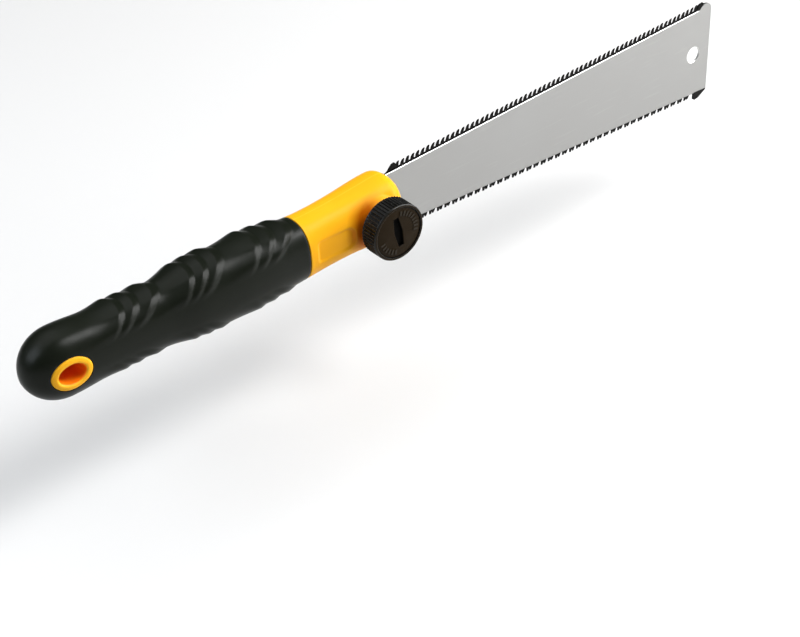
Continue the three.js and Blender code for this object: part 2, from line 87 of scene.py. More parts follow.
# Finger scales: crest places at the top of the grip, in three groups.
SCALE_GROUPS = [(-137.4, -129.9, -119.9), (-101.6, -93.9, -86.2), (-66.2, -57.4, -48.4)]
SCALE_HEIGHT = 1.6
SCALE_FRONT = 4.5  # length of the drop in front of a crest
SCALE_LEAD = 14  # length of the rise up to the first crest of a group
SCALE_OVERLAP = 1.0  # the next rise starts this far behind a crest
SCALE_SWEEPS = (15, 19, 23)  # how far back each crest would be at the middle of the flank

# Neck panel: an oblong recess on each flank, with a round front end.
PANEL_REAR_X = -36.6
PANEL_FRONT_X = -14.8
PANEL_HALF = 6.1
PANEL_Z = -1.4
PANEL_FLOOR = 11.0
PANEL_CORNER = 2.6

# Cheeks: flat bosses of the head for the washer (side -1) and the plug (side 1).
CHEEK_Y = 13.8
CHEEK_FLAT = {-1: 9.0, 1: 8.3}  # radius of the flat
CHEEK_FADE = {-1: 12.8, 1: 9.6}  # radius where the boss has faded out

# Eyelet: half sizes along X and Z.
EYELET_X, EYELET_Z = -167.3, -1.0
EYELET_OUTER = (9.8, 8.0)
EYELET_INNER = (6.5, 4.8)
EYELET_PROUD = 0.15  # how far its rims stand over the rubber

KNOB_RADIUS = 14.3
KNOB_FACE_Y = -25.4
KNOB_REAR_Y = -15.4
KNOB_RIBS = 54
RIB_DEPTH = 0.7
CAP_RADIUS = 12.6
CAP_FACE_Y = -25.0
CAP_THICKNESS = 1.5
SLOT_HALF_LENGTH = 7.9
SLOT_HALF_MIDDLE = 2.3
SLOT_HALF_END = 1.4
SLOT_LEAN = math.radians(-9)
MARK_PROUD = 0.3
MARK_RADII = (8.6, 11.1)
MARK_HALF = 0.5  # half width of a mark
MARK_ARCS = ((-12, 11.5, 9), (196, 12, 6))  # start and step in degrees, and how many

SCREW_RADIUS = 3.0
SCREW_HEX = 10.0  # across the flats of the screw's head and of the nut
SCREW_HEAD_REAR_Y = -18.3
NUT_FRONT_Y = 4.6
PLUG_FACE_Y = 15.0
PLUG_RADIUS = 8.0
PIN_X = -24
PIN_RADIUS = 2.7
PIN_HALF_LENGTH = 7.5
JAW_HALF = (10, 11)
JAW_THICKNESS = 1.5
CORE_SCREWS_X = (-50, -82, -114, -146)
CORE_SCREW_RADIUS = 1.9
CORE_SCREW_HEAD = 3.7
CORE_BOSS = 4.6

BLADE_HALF = 0.5  # half thickness
FLARE = 0.043  # how fast each edge spreads towards the toe
FINE_LAND = 13.7  # half height of the bright plate on the fine side, at x = 0
LAND_WIDTH = 0.22  # ground land along each edge, and how much it thins the plate there
LAND_DEPTH = 0.2
FINE_TIP = 17.2  # half height at the tips, at x = 0
FINE_PITCH = 3.1
FINE_DEPTH = 2.6  # height of the teeth
COARSE_TIP = 17.8
COARSE_PITCH = 4.85
COARSE_DEPTH = 2.4
HEEL_X = 11.5
FIRST_TOOTH_X = 19
LAST_TOOTH_X = 219.5
FINE_END_X = 220.6
TOE_X = 230
TOE_CORNER = 4.2
TOE_HOLE = (218, -1.1)
TOE_HOLE_RADIUS = 4.3
TOOTH_HALF = 0.2  # half thickness of the teeth
TOOTH_SET = 0.12  # how far the tips are bent to alternate sides
BAND_HALF = 0.18  # half thickness of the hardened band at the teeth's root
END_HALF = 0.53  # half thickness of the hardened ends, over the plate's faces
FORK_TIP_X = -32.3
FORK_HALF = 10.6
FORK_SLOT_HALF = 3.4
KEYHOLE_RADIUS = 5.2
SHOULDER_X = -4.5
TANG_HALF = 14.2

KNOB_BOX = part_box("clamp_knob")
BLADE_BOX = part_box("blade")
ORIGIN = Vector(
    (
        (KNOB_BOX[0].x + KNOB_BOX[1].x) / 2,
        (BLADE_BOX[0].y + BLADE_BOX[1].y) / 2,
        (KNOB_BOX[0].z + KNOB_BOX[1].z) / 2,
    )
)


def place(point):
    """A point laid out in millimetres round the knob's axis, in the row frame."""
    return ORIGIN + Vector(point) * MM


# ------------------------------------------------------------------ mesh helpers


def mesh_object(name, verts, faces, material=None):
    """A mesh object from points in millimetres, with its faces turned outwards."""
    mesh = bpy.data.meshes.new(name)
    mesh.from_pydata([place(v) for v in verts], [], faces)
    work = bmesh.new()
    work.from_mesh(mesh)
    bmesh.ops.recalc_face_normals(work, faces=work.faces)
    work.to_mesh(mesh)
    work.free()
    obj = bpy.data.objects.new(name, mesh)
    bpy.context.scene.collection.objects.link(obj)
    if material:
        mesh.materials.append(material)
    return obj


def shade(obj, angle):
    """Smooth shading, with edges kept sharp above an angle in degrees."""
    obj.data.shade_smooth()
    obj.data.set_sharp_from_angle(angle=math.radians(angle))


def applied(obj):
    """Makes the result of the object's modifiers its mesh."""
    bpy.context.view_layer.update()
    graph = bpy.context.evaluated_depsgraph_get()
    mesh = bpy.data.meshes.new_from_object(obj.evaluated_get(graph))
    mesh.name = obj.name
    obj.modifiers.clear()
    obj.data = mesh


def combine(obj, others, operation):
    """Cuts, adds or keeps the common part of obj and each of the others, which are used up."""
    for other in others:
        step = obj.modifiers.new(operation, "BOOLEAN")
        step.operation = operation
        step.solver = "MANIFOLD"
        step.object = other
        applied(obj)
        bpy.data.objects.remove(other)


def repaint(obj, *materials):
    """Replaces the object's materials, and gives every face the first of them."""
    obj.data.materials.clear()
    for material in materials:
        obj.data.materials.append(material)
    obj.data.polygons.foreach_set("material_index", [0] * len(obj.data.polygons))


def rounded(obj, width, segments, angle):
    """Rounds the object's edges that are sharper than an angle in degrees."""
    bevel = obj.modifiers.new("round", "BEVEL")
    bevel.width = width * MM
    bevel.segments = segments
    bevel.limit_method = "ANGLE"
    bevel.angle_limit = math.radians(angle)
    bevel.harden_normals = False
    applied(obj)


def loft(name, rings, material=None):
    """A closed skin over a row of rings with the same number of points."""
    count = len(rings[0])
    verts = [tuple(p) for points in rings for p in points]
    faces = []
    for r in range(len(rings) - 1):
        for i in range(count):
            a = r * count + i
            b = r * count + (i + 1) % count
            faces.append((a, b, b + count, a + count))
    faces.append(tuple(range(count)))
    faces.append(tuple(range((len(rings) - 1) * count, len(rings) * count)))
    return mesh_object(name, verts, faces, material)


def prism(name, outline, y0, y1):
    """A flat outline in X and Z, given thickness from y0 to y1."""
    rings = [[(x, y, z) for x, z in outline] for y in (y0, y1)]
    return loft(name, rings)


def swept_round(name, loops, material):
    """A closed skin over closed loops of points that follow one another right round."""
    count = len(loops[0])
    verts = [p for loop in loops for p in loop]
    faces = []
    for r in range(len(loops)):
        after = (r + 1) % len(loops)
        for i in range(count):
            j = (i + 1) % count
            faces.append((r * count + i, r * count + j, after * count + j, after * count + i))
    return mesh_object(name, verts, faces, material)


def turned(name, segments, profile_at, material):
    """A closed profile of (radius, y) points for each angle, turned about the knob's axis."""
    loops = []
    for i in range(segments):
        angle = 2 * math.pi * i / segments
        c, s = math.cos(angle), math.sin(angle)
        loops.append([(r * c, y, r * s) for r, y in profile_at(angle)])
    return swept_round(name, loops, material)


def oval(half_x, half_z, x=0.0, z=0.0, count=48):
    """Outline of an ellipse."""
    angles = [2 * math.pi * i / count for i in range(count)]
    return [(x + half_x * math.cos(a), z + half_z * math.sin(a)) for a in angles]


def circle(radius, x=0.0, z=0.0, count=48):
    """Outline of a circle."""
    return oval(radius, radius, x, z, count)


def hexagon(across_flats):
    """Outline of a hexagon round the knob's axis."""
    return circle(across_flats / math.sqrt(3), count=6)


def rectangle(x0, x1, z0, z1):
    """Outline of an upright rectangle."""
    return [(x0, z0), (x1, z0), (x1, z1), (x0, z1)]


def smooth(value, low, high):
    """Smooth step from 0 at low to 1 at high, for numbers and arrays."""
    t = np.clip((value - low) / (high - low), 0, 1)
    return t * t * (3 - 2 * t)


# ------------------------------------------------------------------ form of the handle


def along(x, column):
    """Cubic interpolation of one column of the handle's sections."""
    last = len(HANDLE) - 1
    i = 0
    while i < last - 1 and x > HANDLE[i + 1][0]:
        i += 1
    a, b = HANDLE[i], HANDLE[i + 1]
    before, after = HANDLE[max(i - 1, 0)], HANDLE[min(i + 2, last)]
    span = b[0] - a[0]
    t = min(max((x - a[0]) / span, 0), 1)
    slope_a = (b[column] - before[column]) / (b[0] - before[0]) * span
    slope_b = (after[column] - a[column]) / (after[0] - a[0]) * span
    value = (2 * t**3 - 3 * t**2 + 1) * a[column] + (3 * t**2 - 2 * t**3) * b[column]
    return value + (t**3 - 2 * t**2 + t) * slope_a + (t**3 - t**2) * slope_b


def dome(distance_from_end, length):
    """How much a rounded end shrinks the section: 1 on the body, 0 at the very end."""
    if distance_from_end >= length:
        return 1.0
    s = 1 - max(distance_from_end, 0) / length
    return math.sqrt(max(1 - s**2.2, 0))


def section(x, inset=0.0):
    """Half width, half height and centre height of the handle at x."""
    ends = dome(x - BUTT_X - inset, BUTT_DOME - inset)
    ends *= dome(NOSE_X - inset - x, NOSE_DOME)
    half_width = (along(x, HALF_WIDTH) - inset) * ends
    half_height = (along(x, HALF_HEIGHT) - inset) * ends
    return half_width, half_height, along(x, CENTRE_HEIGHT)


def ring(x, angles, inset=0.0, lift=0.0):
    """Points round the handle at x, as three arrays; lift raises them above the form."""
    w, h, zc = section(x, inset)
    c, s = np.cos(angles), np.sin(angles)
    y = (w + lift) * np.sign(c) * np.abs(c) ** (2 / SECTION_POWER)
    z = zc + (h + lift) * np.sign(s) * np.abs(s) ** (2 / SECTION_POWER)
    return np.full(len(angles), float(x)), y, z


def around(count):
    """Evenly spaced angles round a section."""
    return (np.arange(count) + 0.5) / count * 2 * math.pi


def half_width_at(x, z):
    """Half width of the handle at a point of its flank."""
    w, h, zc = section(x)
    return w * (1 - min(abs((z - zc) / h), 1) ** SECTION_POWER) ** (1 / SECTION_POWER)


def places(inset, end, dome_steps, step):
    """Places along X from the rounded butt to end, where sections are taken."""
    length = BUTT_DOME - inset
    start = BUTT_X + inset
    turns = np.linspace(0.02, 1, dome_steps) * math.pi / 2
    butt = start + length * (1 - np.cos(turns))
    body = np.arange(start + length + step, end, step)
    return [*butt, *body, end]


# ------------------------------------------------------------------ rubber grip


def finger_scales(x, angles):
    """Height of the overlapping finger scales round the section at x."""
    upright = np.abs(np.sin(angles))  # 1 on the top and bottom, 0 on the flanks
    flank = 1 - np.arcsin(upright) / (math.pi / 2)
    height = np.zeros(len(angles))
    for group in SCALE_GROUPS:
        behind = group[0] - SCALE_LEAD
        for crest, sweep in zip(group, SCALE_SWEEPS):
            here = x + sweep * flank**2
            rise = np.clip((here - behind) / (crest - behind), 0, 1)
            fall = 1 - np.clip((here - crest) / SCALE_FRONT, 0, 1) ** 1.25
            height = np.maximum(height, rise**1.7 * fall)
            behind = crest - SCALE_OVERLAP
    strength = smooth(upright, 0.28, 0.64) * (1 - 0.45 * smooth(upright, 0.86, 1.0))
    under = np.where(np.sin(angles) < 0, 0.5, 1.0)
    return SCALE_HEIGHT * height * strength * under


def grip_body():
    """Outside of the grip, with its finger scales and a rounded front rim."""
    angles = around(200)
    rim = 0.8
    rim_places = [GRIP_FRONT_X - 0.2, GRIP_FRONT_X - 0.05]
    skin = []
    for x in sorted(places(0, GRIP_FRONT_X, 44, 0.4) + rim_places):
        front = max(rim - (GRIP_FRONT_X - x), 0) / rim
        drop = rim * (1 - math.sqrt(max(1 - front**2, 0)))
        lift = finger_scales(x, angles) * dome(x - BUTT_X, BUTT_DOME) - drop
        skin.append(list(zip(*ring(x, angles, 0, lift))))
    return loft("grip_rubber", skin, RUBBER_BLACK)


def make_grip():
    """One-piece rubber sleeve over the core, cut through for the eyelet."""
    grip = grip_body()
    inset = RUBBER - GAP
    inner_places = places(inset, GRIP_FRONT_X + 2, 16, 3)
    inner = loft("cut", [list(zip(*ring(x, around(64), inset))) for x in inner_places])
    slack = 0.25
    opening = oval(EYELET_OUTER[0] + slack, EYELET_OUTER[1] + slack, EYELET_X, EYELET_Z, 96)
    hole = prism("cut", opening, -20, 20)
    combine(grip, [inner, hole], "DIFFERENCE")
    repaint(grip, RUBBER_BLACK)
    shade(grip, 50)
    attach(grip, "handle")
    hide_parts("grip_sleeve")


# ------------------------------------------------------------------ eyelet


def make_eyelet():
    """Oval liner of the hanging hole: its rims follow the grip and are rounded."""
    # Across the wall: share of the wall from inside to outside, and depth under the rim.
    rim = [(0.0, 2.4), (0.0, 1.2), (0.06, 0.55), (0.2, 0.12), (0.4, 0.0)]
    rim += [(0.7, 0.02), (0.88, 0.14), (0.97, 0.4), (1.0, 0.7), (1.0, 3.0)]
    loops = []
    count = 120
    for side in (-1, 1):
        for share, depth in rim if side < 0 else reversed(rim):
            loop = []
            for i in range(count):
                angle = 2 * math.pi * i / count
                half_x = EYELET_INNER[0] + share * (EYELET_OUTER[0] - EYELET_INNER[0])
                half_z = EYELET_INNER[1] + share * (EYELET_OUTER[1] - EYELET_INNER[1])
                x = EYELET_X + half_x * math.cos(angle)
                z = EYELET_Z + half_z * math.sin(angle)
                y = half_width_at(x, z) + EYELET_PROUD - depth
                loop.append((x, side * y, z))
            loops.append(loop)
    eyelet = swept_round("eyelet_liner", loops, YELLOW)
    # Faces inside the bore get the orange of painted shade.
    eyelet.data.materials.append(BORE_PAINTED_SHADE)
    wall = min(EYELET_INNER) / max(EYELET_INNER)
    for face in eyelet.data.polygons:
        centre = face.center - place((EYELET_X, 0, EYELET_Z))
        if math.hypot(centre.x * wall, centre.z) < (EYELET_INNER[1] + 0.15) * MM:
            face.material_index = 1
    shade(eyelet, 60)
    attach(eyelet, "handle")
    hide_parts("hang_eyelet")


# ------------------------------------------------------------------ moulded core


def panel_depth(x, z):
    """1 inside the oblong panel of the neck, 0 outside, with a short slope between."""
    middle_x = (PANEL_REAR_X + PANEL_FRONT_X) / 2
    half_x = (PANEL_FRONT_X - PANEL_REAR_X) / 2
    corner = np.where(x > middle_x, PANEL_HALF * 0.75, PANEL_CORNER)
    dx = np.abs(x - middle_x) - (half_x - corner)
    dz = np.abs(z - PANEL_Z) - (PANEL_HALF - corner)
    outside = np.hypot(np.maximum(dx, 0), np.maximum(dz, 0))
    distance = outside + np.minimum(np.maximum(dx, dz), 0) - corner
    return smooth(-distance, -0.3, 1.7)


def neck_ring(x, angles):
    """Section of the bare neck and head, with the panels and the bosses under the knob."""
    xs, y, z = ring(x, angles)
    sign = np.sign(y)
    width = np.abs(y)
    floor = np.minimum(width, PANEL_FLOOR)
    width = width + (floor - width) * panel_depth(xs, z)
    reach = np.hypot(xs, z)
    left = 1 - smooth(reach, CHEEK_FLAT[-1], CHEEK_FADE[-1])
    right = 1 - smooth(reach, CHEEK_FLAT[1], CHEEK_FADE[1])
    near = np.where(y < 0, left, right)
    facing = smooth(width, 6.0, 11.5)
    width = width + (np.maximum(CHEEK_Y, width) - width) * near * facing
    return list(zip(xs, sign * width, z))


def core_form():
    """Solid form of both halves of the core: narrow under the rubber, then neck and head."""
    angles = around(320)
    shoulder = GRIP_FRONT_X + 0.15
    under = places(RUBBER, shoulder - 0.01, 14, 2.5)
    rings = [list(zip(*ring(x, angles, RUBBER))) for x in under]
    rings.append(list(zip(*ring(shoulder, angles, 0.35))))
    rings.append(list(zip(*ring(shoulder + 0.12, angles, 0.1))))
    front = NOSE_X - NOSE_DOME
    turns = np.linspace(0, 0.985, 40) * math.pi / 2
    nose = front + NOSE_DOME * np.sin(turns)
    body = [*np.arange(shoulder + 0.35, front, 0.36), *nose]
    rings += [neck_ring(x, angles) for x in body]
    return loft("core", rings)


def core_cutters(side):
    """Everything that is hollow in one half of the core."""
    rear = EYELET_X + EYELET_OUTER[0] + SHELL_WALL
    front = GRIP_FRONT_X - SHELL_WALL
    inset = RUBBER + SHELL_WALL
    hollow = loft(
        "cut",
        [list(zip(*ring(x, around(40), inset))) for x in np.linspace(rear, front, 16)],
    )
    bosses = []
    for x in CORE_SCREWS_X:
        boss = circle(CORE_BOSS, x, along(x, CENTRE_HEIGHT), 24)
        bosses.append(prism("boss", boss, -9, 9))
    combine(hollow, bosses, "DIFFERENCE")
    slot = BLADE_HALF + 0.25
    steps = [(FORK_TIP_X - 1.5, FORK_HALF), (SHOULDER_X, TANG_HALF), (HEEL_X - 0.5, 30)]
    cuts = [hollow]
    for start, height in steps:
        box = rectangle(start, NOSE_X + 5, -height - 0.5, height + 0.5)
        cuts.append(prism("cut", box, -slot, slot))
    jaw_x, jaw_z = JAW_HALF[0] + GAP, JAW_HALF[1] + GAP
    jaw = rectangle(-jaw_x, jaw_x, -jaw_z, jaw_z)
    depth = slot + JAW_THICKNESS + GAP
    cuts.append(prism("cut", jaw, -depth, depth))
    cuts.append(prism("cut", circle(SCREW_RADIUS + GAP), -20, 20))
    reach = PIN_HALF_LENGTH + GAP
    cuts.append(prism("cut", circle(PIN_RADIUS + GAP, PIN_X), -reach, reach))
    opening = oval(EYELET_OUTER[0] + GAP, EYELET_OUTER[1] + GAP, EYELET_X, EYELET_Z)
    cuts.append(prism("cut", opening, -20, 20))
    if side > 0:
        cuts.append(prism("cut", hexagon(SCREW_HEX + 2 * GAP), NUT_FRONT_Y - GAP, 20))
        plug = circle(PLUG_RADIUS + 0.15, count=96)
        cuts.append(prism("cut", plug, PLUG_FACE_Y - 2.3, 20))
    for x in CORE_SCREWS_X:
        z = along(x, CENTRE_HEIGHT)
        cuts.append(prism("cut", circle(CORE_SCREW_RADIUS + GAP, x, z, 24), -20, 6.5))
        if side < 0:
            cuts.append(prism("cut", circle(CORE_SCREW_HEAD, x, z, 24), -20, -5.7))
    return cuts


def make_core_half(name, node, side):
    """Left (-1) or right (+1) half of the yellow core, split on the blade's plane."""
    half = core_form()
    half.name = name
    near, far = side * SEAM, side * 40
    box = prism("keep", rectangle(-220, 40, -40, 40), min(near, far), max(near, far))
    combine(half, [box], "INTERSECT")
    combine(half, core_cutters(side), "DIFFERENCE")
    repaint(half, YELLOW)
    shade(half, 38)
    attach(half, "handle")
    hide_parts(node)


# ------------------------------------------------------------------ knob and cap


def knob_radius(angle, y):
    """Ribbed side of the knob: round-topped ribs that fade out before both edges."""
    phase = (angle * KNOB_RIBS / (2 * math.pi)) % 1.0
    groove = smooth(abs(phase - 0.5), 0.45, 0.28)
    fade = smooth(y, KNOB_FACE_Y + 0.9, KNOB_FACE_Y + 1.5)
    fade *= smooth(-y, -KNOB_REAR_Y + 0.1, -KNOB_REAR_Y + 0.6)
    return KNOB_RADIUS - RIB_DEPTH * groove * fade


def make_knob():
    """Ribbed clamp knob with a bevelled face rim round the cap's seat."""
    seat = CAP_FACE_Y + CAP_THICKNESS + GAP
    bore = SCREW_RADIUS + GAP
    wall = CAP_RADIUS + 0.22
    side = [KNOB_REAR_Y - t for t in (0.45, 0.7, 1.0, 1.5, 3.5, 5.5, 7.5, 8.3, 8.5, 8.7)]
    before = [(bore, KNOB_REAR_Y), (KNOB_RADIUS - 1.0, KNOB_REAR_Y)]
    before.append((KNOB_RADIUS - 0.45, KNOB_REAR_Y - 0.15))
    after = [
        (KNOB_RADIUS, KNOB_FACE_Y + 0.7),
        (KNOB_RADIUS - 0.06, KNOB_FACE_Y + 0.46),
        (KNOB_RADIUS - 0.34, KNOB_FACE_Y + 0.07),
        (KNOB_RADIUS - 0.5, KNOB_FACE_Y),
        (wall + 0.25, KNOB_FACE_Y),
        (wall + 0.05, KNOB_FACE_Y + 0.1),
        (wall, KNOB_FACE_Y + 0.4),
        (wall, seat),
        (bore, seat),
    ]

    def profile_at(angle):
        return before + [(knob_radius(angle, y), y) for y in side] + after

    knob = turned("knob_ribbed", KNOB_RIBS * 12, profile_at, KNOB_BLACK)
    pocket = prism("cut", hexagon(SCREW_HEX + 2 * GAP), -30, SCREW_HEAD_REAR_Y)
    combine(knob, [pocket], "DIFFERENCE")
    repaint(knob, KNOB_BLACK, KNOB_FACE)
    for face in knob.data.polygons:
        if face.normal.y < -0.95:
            face.material_index = 1
    shade(knob, 40)
    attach(knob, "knob")
    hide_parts("clamp_knob")


def leaning(outline):
    """An outline turned by the coin slot's lean."""
    c, s = math.cos(SLOT_LEAN), math.sin(SLOT_LEAN)
    return [(c * x + s * z, -s * x + c * z) for x, z in outline]


def slot_outline(grow=0.0):
    """Outline of the coin slot, wider in its middle, grown all round by grow."""
    end = SLOT_HALF_END + grow
    middle = SLOT_HALF_MIDDLE + grow
    length = SLOT_HALF_LENGTH + grow
    points = [(-end, -length), (end, -length), (middle, 0), (end, length)]
    return leaning(points + [(-end, length), (-middle, 0)])


def cap_mark(angle):
    """One short raised radial mark on the cap."""
    c, s = math.cos(angle), math.sin(angle)
    corners = rectangle(*MARK_RADII, -MARK_HALF, MARK_HALF)
    outline = [(r * c - t * s, r * s + t * c) for r, t in corners]
    return prism("mark", outline, CAP_FACE_Y - MARK_PROUD, CAP_FACE_Y + 0.2)


def make_cap():
    """Disc in the knob's face: a blind coin slot and two arcs of plain raised marks."""
    edge = 0.3
    rear = CAP_FACE_Y + CAP_THICKNESS
    profile = [(0.02, rear), (CAP_RADIUS, rear), (CAP_RADIUS, CAP_FACE_Y + edge)]
    profile += [(CAP_RADIUS - edge * 0.3, CAP_FACE_Y + edge * 0.3)]
    profile += [(CAP_RADIUS - edge, CAP_FACE_Y), (0.02, CAP_FACE_Y)]
    cap = turned("knob_cap_disc", 144, lambda angle: profile, KNOB_FACE)
    chamfer = loft(
        "cut",
        [
            [(x, CAP_FACE_Y - 0.3, z) for x, z in slot_outline(0.5)],
            [(x, CAP_FACE_Y + 0.25, z) for x, z in slot_outline(0)],
        ],
    )
    slot = prism("cut", slot_outline(), CAP_FACE_Y - 1, CAP_FACE_Y + 1.3)
    combine(cap, [chamfer, slot], "DIFFERENCE")
    marks = []
    for start, step, count in MARK_ARCS:
        marks += [cap_mark(math.radians(start + step * i)) for i in range(count)]
    combine(cap, marks, "UNION")
    repaint(cap, KNOB_FACE, SLOT_PAINTED_SHADE, MARK_WEAR_AND_HIGHLIGHT)
    raised = place((0, CAP_FACE_Y - MARK_PROUD / 3, 0)).y
    deep = place((0, CAP_FACE_Y + 0.27, 0)).y
    reach = (SLOT_HALF_LENGTH + 1) * MM
    for face in cap.data.polygons:
        centre = face.center - place((0, 0, 0))
        # Painted shade: faces deep in the slot are painted near-black.
        if face.center.y > deep and math.hypot(centre.x, centre.z) < reach:
            face.material_index = 1
        # The marks get the lighter paint: thumb wear plus a painted highlight.
        if face.center.y < raised:
            face.material_index = 2
    shade(cap, 30)
    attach(cap, "knob")
    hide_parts("knob_cap")


def make_plug():
    """Round plug over the nut: shallow dished face with a raised ring."""
    rear = PLUG_FACE_Y - 2
    profile = [
        (0.02, rear + 0.3),
        (PLUG_RADIUS - 2, rear + 0.3),
        (PLUG_RADIUS - 2, rear),
        (PLUG_RADIUS, rear),
        (PLUG_RADIUS, PLUG_FACE_Y - 0.5),
        (PLUG_RADIUS - 0.15, PLUG_FACE_Y - 0.15),
        (PLUG_RADIUS - 0.5, PLUG_FACE_Y),
        (PLUG_RADIUS - 1.5, PLUG_FACE_Y),
        (PLUG_RADIUS - 1.8, PLUG_FACE_Y - 0.12),
        (PLUG_RADIUS - 2.0, PLUG_FACE_Y - 0.4),
        (1.6, PLUG_FACE_Y - 0.55),
        (0.02, PLUG_FACE_Y - 0.6),
    ]
    plug = turned("nut_plug_disc", 128, lambda angle: profile, KNOB_FACE)
    shade(plug, 30)
    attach(plug, "handle")
    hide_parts("nut_plug")


# ------------------------------------------------------------------ blade


def fine_land(x):
    """Height of the bright plate's edge under the fine teeth."""
    return FINE_LAND + FLARE * x


def coarse_land(x):
    """Depth of the bright plate's edge over the coarse teeth."""
    return COARSE_TIP - COARSE_DEPTH + FLARE * x


def corner_arc(x, z, radius, start, end, count=8):
    """Points of an arc between two angles in degrees."""
    turns = np.radians(np.linspace(start, end, count))
    return [(x + radius * math.cos(t), z + radius * math.sin(t)) for t in turns]


def plate_outline():
    """The bright plate without its teeth: fork, tang, free length and toe."""
    toe_top = FINE_TIP + FLARE * TOE_X - 1.4
    toe_low = -coarse_land(TOE_X)
    lower = [
        (FORK_TIP_X, -FORK_SLOT_HALF),
        (FORK_TIP_X, -8.0),
        (FORK_TIP_X + 1.5, -9.5),
        (SHOULDER_X - 1, -FORK_HALF),
        (SHOULDER_X + 6, -TANG_HALF),
        (HEEL_X, -TANG_HALF),
        (HEEL_X + 2, -coarse_land(HEEL_X + 2)),
        (TOE_X - 1.2, toe_low),
    ]
    toe = corner_arc(TOE_X - TOE_CORNER, toe_top - TOE_CORNER, TOE_CORNER, 0, 90)
    upper = [
        (FINE_END_X + 4.2, toe_top),
        (FINE_END_X + 2.6, fine_land(FINE_END_X) + 1.6),
        (FINE_END_X + 0.8, fine_land(FINE_END_X)),
        (HEEL_X - 0.5, fine_land(HEEL_X)),
        (SHOULDER_X + 6, TANG_HALF),
        (SHOULDER_X - 1, FORK_HALF),
        (FORK_TIP_X + 1.5, 9.5),
        (FORK_TIP_X, 8.0),
        (FORK_TIP_X, FORK_SLOT_HALF),
    ]
    bite = 180 - math.degrees(math.asin(FORK_SLOT_HALF / KEYHOLE_RADIUS))
    keyhole = corner_arc(0, 0, KEYHOLE_RADIUS, bite, -bite, 40)
    return lower + toe + upper + keyhole


def land_cutter(edge, side, face):
    """Long wedge that grinds a sloping land along one edge of one face of the plate."""
    rings = []
    for x in (HEEL_X - 6, LAST_TOOTH_X + 1.5):
        z = edge(x)
        section_points = [
            (BLADE_HALF + 0.4, z - LAND_WIDTH * 1.02),
            (BLADE_HALF, z - LAND_WIDTH),
            (BLADE_HALF - LAND_DEPTH, z),
            (BLADE_HALF - LAND_DEPTH, z + 2.0),
            (BLADE_HALF + 0.4, z + 2.0),
        ]
        rings.append([(x, face * y, side * height) for y, height in section_points])
    return loft("cut", rings)


def toe_hole_chamfer(face):
    """Cone that chamfers the toe hole on one face of the plate."""
    rings = []
    for grow, over in ((0.45, 0.1), (0, -0.3)):
        outline = circle(TOE_HOLE_RADIUS + grow, *TOE_HOLE, 96)
        rings.append([(x, face * (BLADE_HALF + over), z) for x, z in outline])
    return loft("cut", rings)


def make_plate():
    """The blade's plate: ground lands, chamfered toe hole, open fork round the screw."""
    plate = prism("blade_plate", plate_outline(), -BLADE_HALF, BLADE_HALF)
    cuts = [prism("cut", circle(TOE_HOLE_RADIUS, *TOE_HOLE, 96), -2, 2)]
    for face in (-1, 1):
        for edge, side in ((fine_land, 1), (coarse_land, -1)):
            cuts.append(land_cutter(edge, side, face))
        cuts.append(toe_hole_chamfer(face))
    combine(plate, cuts, "DIFFERENCE")
    rounded(plate, 0.08, 1, 60)
    repaint(plate, BLADE_STEEL, GROUND_STEEL)
    for face in plate.data.polygons:
        if 0.1 < abs(face.normal.y) < 0.97:
            face.material_index = 1
    shade(plate, 12)
    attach(plate, "blade")
    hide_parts("blade")


# Teeth as (share of the pitch, share of the height).
FINE_TOOTH = [(0, -0.1), (0, 0), (0.06, 0.25), (0.2, 0.6), (0.42, 0.92), (0.6, 1.02)]
FINE_TOOTH += [(0.84, 1.02), (0.78, 0.7), (0.7, 0.35), (0.66, 0), (0.66, -0.1)]
COARSE_TOOTH = [(0, -0.12), (0, 1.0), (0.2, 1.02), (0.29, 0.6), (0.35, 0.6)]
COARSE_TOOTH += [(0.42, 0.98), (0.58, 0.84), (0.7, 0.42), (0.78, 0), (0.78, -0.12)]


def tooth_row(name, tooth, pitch, depth, tip, side):
    """A row of separate teeth, their tips bent to alternate sides of the blade."""
    verts, faces = [], []
    count = int((FINE_END_X - FIRST_TOOTH_X) / pitch)
    for i in range(count):
        lean = TOOTH_SET * (-1) ** i
        base = len(verts)
        for face in (-1, 1):
            for share, height in tooth:
                x = FIRST_TOOTH_X + (i + share) * pitch
                z = tip + FLARE * x - depth * (1 - height)
                verts.append((x, face * TOOTH_HALF + lean * max(height - 0.2, 0), side * z))
        n = len(tooth)
        faces.append(tuple(base + k for k in range(n)))
        faces.append(tuple(base + n + k for k in range(n)))
        for k in range(n):
            nxt = (k + 1) % n
            faces.append((base + k, base + nxt, base + n + nxt, base + n + k))
    return mesh_object(name, verts, faces, TOOTH_BLACK)


def band(name, outline, half=BAND_HALF):
    """A flat piece on the blade's middle plane."""
    return prism(name, outline, -half, half)


def join(target, others):
    """Joins other mesh objects into target, and removes them."""
    work = bmesh.new()
    for obj in [target, *others]:
        work.from_mesh(obj.data)
    work.to_mesh(target.data)
    work.free()
    for obj in others:
        bpy.data.objects.remove(obj)


